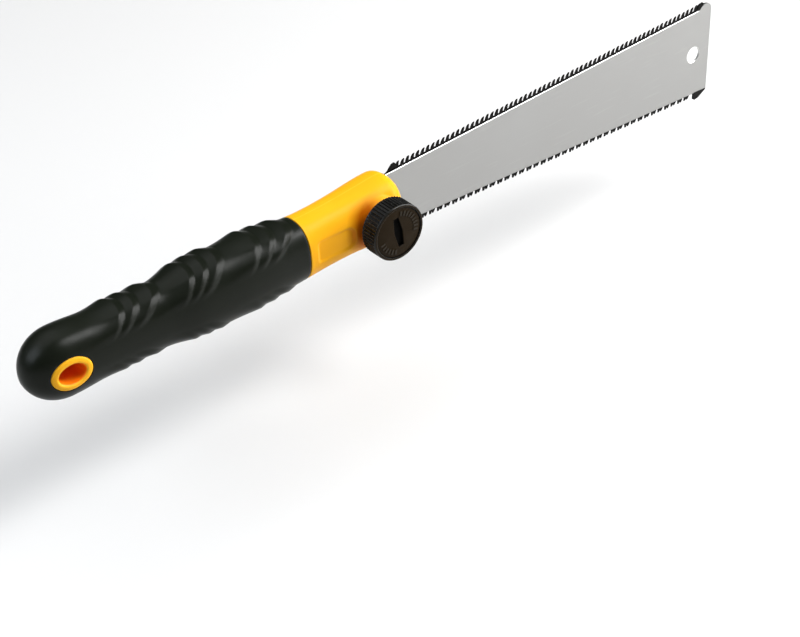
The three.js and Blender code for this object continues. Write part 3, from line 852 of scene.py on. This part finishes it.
def make_fine_teeth():
    """Fine crosscut teeth, their hardened root band, and the rounded stop at the heel."""
    row = tooth_row("fine_teeth", FINE_TOOTH, FINE_PITCH, FINE_DEPTH, FINE_TIP, 1)
    root = FINE_TIP - FINE_DEPTH
    last = FINE_END_X
    strip = [(HEEL_X - 1, fine_land(HEEL_X - 1) - 0.3), (last, fine_land(last) - 0.3)]
    strip += [(x, root + FLARE * x + up) for x, up in ((last, 0.1), (FIRST_TOOTH_X, 0.15))]
    strip += [(HEEL_X + 0.5, fine_land(HEEL_X) + 0.4)]
    # Outlines of the two ends: x, and height over the plate's edge.
    bump = [(12.4, 0.2), (14.4, 1.3), (15.8, 3.0), (17.0, 3.9)]
    bump += [(18.4, 4.1), (19.3, 3.4), (19.8, 0.2)]
    stop = [(x, fine_land(x) + up) for x, up in bump]
    nose = [(last - 0.8, 0.2), (last - 0.1, 2.6), (last + 0.9, 3.4), (last + 3.2, 3.5)]
    nose += [(last + 4.0, 2.8), (last + 2.6, 1.7), (last + 1.0, 0.1)]
    end = [(x, fine_land(x) + up) for x, up in nose]
    join(row, [band("strip", strip), band("stop", stop), band("end", end, END_HALF)])
    finish_teeth(row)


def make_coarse_teeth():
    """Coarse teeth with a notch behind each point, and the hardened corner of the toe."""
    row = tooth_row("coarse_teeth", COARSE_TOOTH, COARSE_PITCH, COARSE_DEPTH, COARSE_TIP, -1)
    last = LAST_TOOTH_X
    ends = [(HEEL_X + 1, 0.3), (last, 0.3), (last, -0.2), (HEEL_X + 2, -0.2)]
    strip = [(x, -coarse_land(x) + up) for x, up in ends]
    low = -(COARSE_TIP + FLARE * TOE_X + 1.4)
    toe_edge = -coarse_land(TOE_X)
    corner = [(last + 0.2, -coarse_land(last) + 0.4), (last + 0.2, low + 0.6)]
    corner += [(last + 1.2, low), (last + 4.0, low + 0.5), (last + 6.8, low + 2.2)]
    corner += [(last + 9.0, toe_edge - 0.4), (last + 9.2, toe_edge + 0.4)]
    join(row, [band("strip", strip), band("corner", corner, END_HALF)])
    finish_teeth(row)


def finish_teeth(row):
    """Blackens a row of teeth, and fixes it to the blade."""
    repaint(row, TOOTH_BLACK)
    shade(row, 20)
    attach(row, "blade")


# ------------------------------------------------------------------ materials


class Paint:
    """Builds one procedural node material round a Principled shader."""

    def __init__(self, name):
        self.material = bpy.data.materials.new(name)
        self.material.use_nodes = True
        self.nodes = self.material.node_tree.nodes
        self.links = self.material.node_tree.links
        self.shader = self.nodes["Principled BSDF"]
        self.where = self.nodes.new("ShaderNodeTexCoord").outputs["Object"]

    def set(self, **values):
        """Sets sockets of the shader, named in lower case with underscores."""
        for socket in self.shader.inputs:
            key = socket.name.lower().replace(" ", "_")
            if key in values:
                socket.default_value = values[key]

    def link(self, source, socket):
        """Feeds one of the shader's sockets, by its name."""
        self.links.new(source, self.shader.inputs[socket])

    def noise(self, size, stretch=(1, 1, 1), detail=3.0):
        """Noise whose features are about size millimetres, stretched along the axes."""
        mapping = self.nodes.new("ShaderNodeMapping")
        mapping.inputs["Scale"].default_value = [1 / (size * MM * s) for s in stretch]
        self.links.new(self.where, mapping.inputs["Vector"])
        noise = self.nodes.new("ShaderNodeTexNoise")
        noise.inputs["Scale"].default_value = 1.0
        noise.inputs["Detail"].default_value = detail
        self.links.new(mapping.outputs["Vector"], noise.inputs["Vector"])
        return noise.outputs["Fac"]

    def edges(self, low, high):
        """0 on flat areas and 1 along worn outer edges."""
        geometry = self.nodes.new("ShaderNodeNewGeometry")
        return self.remap(geometry.outputs["Pointiness"], low, high, 0, 1)

    def remap(self, value, low, high, to_low, to_high):
        """Carries the range from low to high over to another range, and clamps it."""
        node = self.nodes.new("ShaderNodeMapRange")
        node.inputs["From Min"].default_value = low
        node.inputs["From Max"].default_value = high
        node.inputs["To Min"].default_value = to_low
        node.inputs["To Max"].default_value = to_high
        self.links.new(value, node.inputs["Value"])
        return node.outputs["Result"]

    def mix(self, factor, a, b):
        """Colour between a and b; each is a colour or another node's output."""
        node = self.nodes.new("ShaderNodeMix")
        node.data_type = "RGBA"
        self.links.new(factor, node.inputs["Factor"])
        for socket, colour in ((6, a), (7, b)):
            if isinstance(colour, tuple):
                node.inputs[socket].default_value = (*colour, 1)
            else:
                self.links.new(colour, node.inputs[socket])
        return node.outputs[2]

    def product(self, a, b):
        """One output times another."""
        node = self.nodes.new("ShaderNodeMath")
        node.operation = "MULTIPLY"
        self.links.new(a, node.inputs[0])
        self.links.new(b, node.inputs[1])
        return node.outputs["Value"]

    def painted_knob_shade_mask(self):
        """1 on the part of the head where the knob's shade is painted into the colour, 0 away
        from it.

        It fades out away from the knob's axis, away from the knob's side of the head, and
        towards the nose.
        """
        middle = place((0, 0, 0))
        shift = self.nodes.new("ShaderNodeVectorMath")
        shift.operation = "SUBTRACT"
        shift.inputs[1].default_value = (middle.x, 0, middle.z)
        self.links.new(self.where, shift.inputs[0])
        flat = self.nodes.new("ShaderNodeVectorMath")
        flat.operation = "MULTIPLY"
        flat.inputs[1].default_value = (1, 0, 1)
        self.links.new(shift.outputs["Vector"], flat.inputs[0])
        reach = self.nodes.new("ShaderNodeVectorMath")
        reach.operation = "LENGTH"
        self.links.new(flat.outputs["Vector"], reach.inputs[0])
        close = self.remap(reach.outputs["Value"], 13.5 * MM, 20 * MM, 1, 0)
        side = self.nodes.new("ShaderNodeSeparateXYZ")
        self.links.new(self.where, side.inputs["Vector"])
        left = self.remap(side.outputs["Y"], middle.y - 11 * MM, middle.y - 7 * MM, 1, 0)
        behind = self.remap(side.outputs["X"], middle.x - 6 * MM, middle.x + 3 * MM, 1, 0)
        return self.product(self.product(close, left), behind)

    def bump(self, height, distance, strength, under=None):
        """Bump of a height, distance in millimetres, on top of another bump if given."""
        node = self.nodes.new("ShaderNodeBump")
        node.inputs["Strength"].default_value = strength
        node.inputs["Distance"].default_value = distance * MM
        self.links.new(height, node.inputs["Height"])
        if under:
            self.links.new(under, node.inputs["Normal"])
        return node.outputs["Normal"]


def yellow_plastic():
    """Glossy moulded plastic: slight colour drift, fine spark texture, rubbed edges, and
    painted shade round the knob.
    """
    paint = Paint("yellow_plastic")
    drift = paint.noise(18, detail=2)
    body = paint.mix(drift, (0.78, 0.345, 0.006), (0.84, 0.39, 0.012))
    # Painted shade: the head darkens to deep orange where the knob shades it.
    with_painted_shade = paint.mix(paint.painted_knob_shade_mask(), body, (0.42, 0.095, 0.001))
    worn = paint.product(paint.edges(0.51, 0.58), paint.noise(2.5))
    paint.link(paint.mix(worn, with_painted_shade, (0.98, 0.66, 0.08)), "Base Color")
    paint.link(paint.remap(paint.noise(6), 0.3, 0.7, 0.3, 0.42), "Roughness")
    fine = paint.bump(paint.noise(0.28), 0.012, 0.5)
    paint.link(paint.bump(paint.noise(9, detail=1), 0.06, 0.5, fine), "Normal")
    paint.set(ior=1.45, specular_ior_level=0.07)
    paint.set(subsurface_weight=0.08, subsurface_radius=(0.0012, 0.0006, 0.0001))
    return paint.material


def bore_orange():
    """The eyelet's bore: the same plastic with painted shade, a deeper orange standing in for
    the shade and yellow bounce light inside the hole.
    """
    paint = Paint("bore_orange")
    body = paint.mix(paint.noise(8), (0.86, 0.17, 0.002), (0.93, 0.25, 0.004))
    paint.link(body, "Base Color")
    paint.link(paint.remap(paint.noise(4), 0.3, 0.7, 0.3, 0.45), "Roughness")
    paint.link(paint.bump(paint.noise(0.4), 0.015, 0.5), "Normal")
    paint.set(ior=1.45)
    return paint.material


def slot_black():
    """Painted shade: near-black for the inside of the shallow coin slot, standing in for a
    deep unlit slot.
    """
    paint = Paint("slot_black")
    body = paint.mix(paint.noise(2), (0.0008, 0.0007, 0.0005), (0.002, 0.0018, 0.0014))
    paint.link(body, "Base Color")
    paint.link(paint.remap(paint.noise(1), 0.3, 0.7, 0.7, 0.9), "Roughness")
    paint.set(specular_ior_level=0.05)
    return paint.material


def rubber_black():
    """Soft black rubber: fine pebbled skin, polished by the hand on its high places."""
    paint = Paint("rubber_black")
    drift = paint.noise(11, detail=3)
    body = paint.mix(drift, (0.0052, 0.0066, 0.0042), (0.0078, 0.0095, 0.0063))
    dusty = paint.product(paint.edges(0.505, 0.56), paint.noise(1.6))
    paint.link(paint.mix(dusty, body, (0.028, 0.028, 0.026)), "Base Color")
    paint.link(paint.remap(paint.noise(7), 0.3, 0.7, 0.29, 0.37), "Roughness")
    pebbles = paint.bump(paint.noise(0.3, detail=2), 0.02, 0.45)
    paint.link(paint.bump(paint.noise(5, detail=1), 0.05, 0.4, pebbles), "Normal")
    paint.set(ior=1.48, specular_ior_level=0.12)
    return paint.material


def knob_black():
    """Hard black plastic of the ribbed knob, its ribs rubbed grey."""
    paint = Paint("knob_black")
    body = paint.mix(paint.noise(4), (0.0022, 0.0020, 0.0016), (0.0045, 0.0041, 0.0033))
    worn = paint.product(paint.edges(0.52, 0.6), paint.noise(1.2))
    paint.link(paint.mix(worn, body, (0.04, 0.04, 0.036)), "Base Color")
    paint.link(paint.remap(paint.noise(2.2), 0.3, 0.7, 0.24, 0.34), "Roughness")
    paint.link(paint.bump(paint.noise(0.22), 0.015, 0.5), "Normal")
    paint.set(ior=1.5, specular_ior_level=0.2)
    return paint.material


def knob_face():
    """Matt black-brown plastic of the cap and the plug, with a sparked texture."""
    paint = Paint("knob_face")
    body = paint.mix(paint.noise(5), (0.0110, 0.0060, 0.0014), (0.0150, 0.0086, 0.0026))
    worn = paint.product(paint.edges(0.52, 0.6), paint.noise(1.5))
    paint.link(paint.mix(worn, body, (0.024, 0.016, 0.007)), "Base Color")
    paint.link(paint.remap(paint.noise(3), 0.3, 0.7, 0.46, 0.6), "Roughness")
    paint.link(paint.bump(paint.noise(0.2), 0.02, 0.6), "Normal")
    paint.set(ior=1.46, specular_ior_level=0.07)
    return paint.material


def mark_brown():
    """The cap's raised marks: the same plastic polished a little by the thumb, and painted
    lighter as a painted highlight.
    """
    paint = Paint("mark_brown")
    body = paint.mix(paint.noise(1.2), (0.015, 0.0105, 0.0055), (0.023, 0.017, 0.0095))
    paint.link(body, "Base Color")
    paint.link(paint.remap(paint.noise(0.8), 0.3, 0.7, 0.34, 0.46), "Roughness")
    paint.link(paint.bump(paint.noise(0.2), 0.015, 0.5), "Normal")
    paint.set(ior=1.46, specular_ior_level=0.16)
    return paint.material


def blade_steel():
    """Ground spring steel: fine lengthwise lines, faint clouding and handling marks."""
    paint = Paint("blade_steel")
    lines = paint.noise(0.6, stretch=(90, 1, 1), detail=2)
    cloud = paint.noise(45, detail=1)
    tone = paint.mix(cloud, (0.345, 0.343, 0.335), (0.365, 0.365, 0.36))
    rubs = paint.remap(paint.noise(1.6, stretch=(14, 1, 1), detail=1), 0.62, 0.8, 0, 0.35)
    paint.link(paint.mix(rubs, tone, (0.42, 0.42, 0.41)), "Base Color")
    rough = paint.remap(paint.noise(30, detail=1), 0.3, 0.7, 0.28, 0.33)
    paint.link(rough, "Roughness")
    paint.link(paint.bump(lines, 0.002, 0.15), "Normal")
    paint.set(metallic=1.0, anisotropic=0.3)
    return paint.material


def ground_steel():
    """Freshly ground lands, chamfers and worn edges of the blade: brighter than its faces."""
    paint = Paint("ground_steel")
    body = paint.mix(paint.noise(2.5), (0.55, 0.55, 0.54), (0.68, 0.68, 0.67))
    paint.link(body, "Base Color")
    paint.link(paint.remap(paint.noise(3), 0.3, 0.7, 0.3, 0.4), "Roughness")
    paint.link(paint.bump(paint.noise(0.5, stretch=(1, 1, 8)), 0.004, 0.3), "Normal")
    paint.set(metallic=1.0)
    return paint.material


def tooth_black():
    """Impulse-hardened teeth: blued black steel, ground brighter on the tips."""
    paint = Paint("tooth_black")
    body = paint.mix(paint.noise(1.5), (0.0010, 0.0010, 0.0011), (0.0026, 0.0025, 0.0024))
    worn = paint.product(paint.edges(0.56, 0.7), paint.noise(0.8))
    paint.link(paint.mix(worn, body, (0.02, 0.02, 0.019)), "Base Color")
    paint.link(paint.remap(paint.noise(1.0), 0.3, 0.7, 0.5, 0.65), "Roughness")
    paint.link(paint.bump(paint.noise(0.15), 0.01, 0.5), "Normal")
    paint.set(ior=1.5, specular_ior_level=0.06)
    return paint.material


def zinc_steel():
    """Zinc-plated screws, nut, pin and plates: mottled bright grey."""
    paint = Paint("zinc_steel")
    body = paint.mix(paint.noise(1.8), (0.52, 0.53, 0.55), (0.66, 0.67, 0.68))
    worn = paint.product(paint.edges(0.52, 0.62), paint.noise(0.9))
    paint.link(paint.mix(worn, body, (0.8, 0.8, 0.8)), "Base Color")
    paint.link(paint.remap(paint.noise(0.9), 0.3, 0.7, 0.26, 0.44), "Roughness")
    paint.link(paint.bump(paint.noise(0.4, stretch=(1, 6, 1)), 0.01, 0.4), "Normal")
    paint.set(metallic=1.0)
    return paint.material


def spring_steel():
    """Dark oiled spring steel of the retaining ring."""
    paint = Paint("spring_steel")
    body = paint.mix(paint.noise(1.2), (0.12, 0.12, 0.125), (0.2, 0.2, 0.2))
    paint.link(body, "Base Color")
    paint.link(paint.remap(paint.noise(0.7), 0.3, 0.7, 0.3, 0.45), "Roughness")
    paint.link(paint.bump(paint.noise(0.3), 0.01, 0.4), "Normal")
    paint.set(metallic=1.0)
    return paint.material


def floor_paint():
    """Plain pale studio floor."""
    paint = Paint("floor_paint")
    tone = paint.mix(paint.noise(900, detail=1), (0.62, 0.614, 0.606), (0.64, 0.634, 0.626))
    paint.link(tone, "Base Color")
    paint.set(roughness=0.6)
    return paint.material


# ------------------------------------------------------------------ carried-over hardware


def dress_hardware():
    """Gives the CAD's own small metal pieces their finish and slightly rounded edges."""
    plated = ["clamp_nut", "clamp_screw", "guide_pin", "jaw_plate_left", "jaw_plate_right"]
    plated += ["thrust_washer"] + [f"core_screw_{i}" for i in range(1, 5)]
    for name in plated + ["screw_clip"]:
        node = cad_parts[name]
        node.data.materials.clear()
        node.data.materials.append(SPRING_STEEL if name == "screw_clip" else ZINC_STEEL)
        weld = node.modifiers.new("weld", "WELD")
        weld.merge_threshold = 0.00001
        bevel = node.modifiers.new("round", "BEVEL")
        bevel.width = 0.15 * MM
        bevel.segments = 2
        bevel.limit_method = "ANGLE"
        bevel.angle_limit = math.radians(40)


# ------------------------------------------------------------------ stage


FLOOR_DROP = 0.085  # height of the knob's axis over the floor, in metres
FLOOR_RADIUS = 9000


def make_floor():
    """Wide round floor under the saw."""
    floor = mesh_object(
        "studio_floor",
        [(x, y, 0) for x, y in circle(FLOOR_RADIUS, count=64)],
        [tuple(range(64))],
        floor_paint(),
    )
    floor.location.z = -FLOOR_DROP


def softbox(name, azimuth, elevation, distance, size, power, colour=(1, 1, 1)):
    """Area light, size wide and high, that faces the saw from a direction in degrees."""
    a, e = math.radians(azimuth), math.radians(elevation)
    away = Vector((math.sin(a) * math.cos(e), -math.cos(a) * math.cos(e), math.sin(e)))
    data = bpy.data.lights.new(name, "AREA")
    data.shape = "RECTANGLE"
    data.size, data.size_y = size
    data.energy = power
    data.color = colour
    light = bpy.data.objects.new(name, data)
    light.location = away * distance
    light.rotation_mode = "QUATERNION"
    light.rotation_quaternion = (-away).to_track_quat("-Z", "Y")
    bpy.context.scene.collection.objects.link(light)


def make_lights():
    """Four softboxes, and a dim world that is brighter near the horizon."""
    softbox("overhead", 188, 68, 2.4, (2.2, 2.2), 24)
    softbox("key", 42, 54, 1.6, (0.55, 0.8), 20)
    softbox("right", 67, 22, 1.5, (0.9, 1.6), 42)
    softbox("butt", -106, 36, 1.5, (1.1, 0.9), 15, (0.85, 0.92, 1.0))
    world = bpy.data.worlds.new("studio")
    world.use_nodes = True
    nodes, links = world.node_tree.nodes, world.node_tree.links
    height = nodes.new("ShaderNodeSeparateXYZ")
    links.new(nodes.new("ShaderNodeTexCoord").outputs["Generated"], height.inputs["Vector"])
    fade = nodes.new("ShaderNodeMapRange")
    fade.interpolation_type = "SMOOTHSTEP"
    for socket, number in (("From Max", 0.45), ("To Min", 0.55), ("To Max", 0.2)):
        fade.inputs[socket].default_value = number
    links.new(height.outputs["Z"], fade.inputs["Value"])
    links.new(fade.outputs["Result"], nodes["Background"].inputs["Strength"])
    bpy.context.scene.world = world
    bpy.context.scene.view_settings.view_transform = "Standard"


CAMERA_AZIMUTH = -37.56
CAMERA_ELEVATION = 36.27
CAMERA_ROLL = -3.13
CAMERA_DISTANCE = 931.4  # from the aim point
AIM_RIGHT, AIM_UP = 16.4, -50.2  # from the knob's axis, across the view
FOCAL_LENGTH = 90  # on a 36 mm sensor


def make_camera():
    """Camera at the photo's angle."""
    a, e, roll = (math.radians(v) for v in (CAMERA_AZIMUTH, CAMERA_ELEVATION, CAMERA_ROLL))
    level = Vector((math.cos(a), math.sin(a), 0))
    back = Vector((math.sin(a) * math.cos(e), -math.cos(a) * math.cos(e), math.sin(e)))
    upright = back.cross(level)
    right = level * math.cos(roll) + upright * math.sin(roll)
    up = upright * math.cos(roll) - level * math.sin(roll)
    data = bpy.data.cameras.new("camera")
    data.sensor_width = 36
    data.lens = FOCAL_LENGTH
    camera = bpy.data.objects.new("camera", data)
    away = right * AIM_RIGHT + up * AIM_UP + back * CAMERA_DISTANCE
    rotation = Matrix((right, up, back)).transposed().to_4x4()
    camera.matrix_world = Matrix.Translation(place(away)) @ rotation
    bpy.context.scene.collection.objects.link(camera)
    bpy.context.scene.camera = camera


YELLOW = yellow_plastic()
BORE_PAINTED_SHADE = bore_orange()
SLOT_PAINTED_SHADE = slot_black()
RUBBER_BLACK = rubber_black()
KNOB_BLACK = knob_black()
KNOB_FACE = knob_face()
MARK_WEAR_AND_HIGHLIGHT = mark_brown()
BLADE_STEEL = blade_steel()
GROUND_STEEL = ground_steel()
TOOTH_BLACK = tooth_black()
ZINC_STEEL = zinc_steel()
SPRING_STEEL = spring_steel()

make_grip()
make_eyelet()
make_core_half("core_left_shell", "core_left", -1)
make_core_half("core_right_shell", "core_right", 1)
make_knob()
make_cap()
make_plug()
make_plate()
make_fine_teeth()
make_coarse_teeth()
dress_hardware()
make_floor()
make_lights()
make_camera()
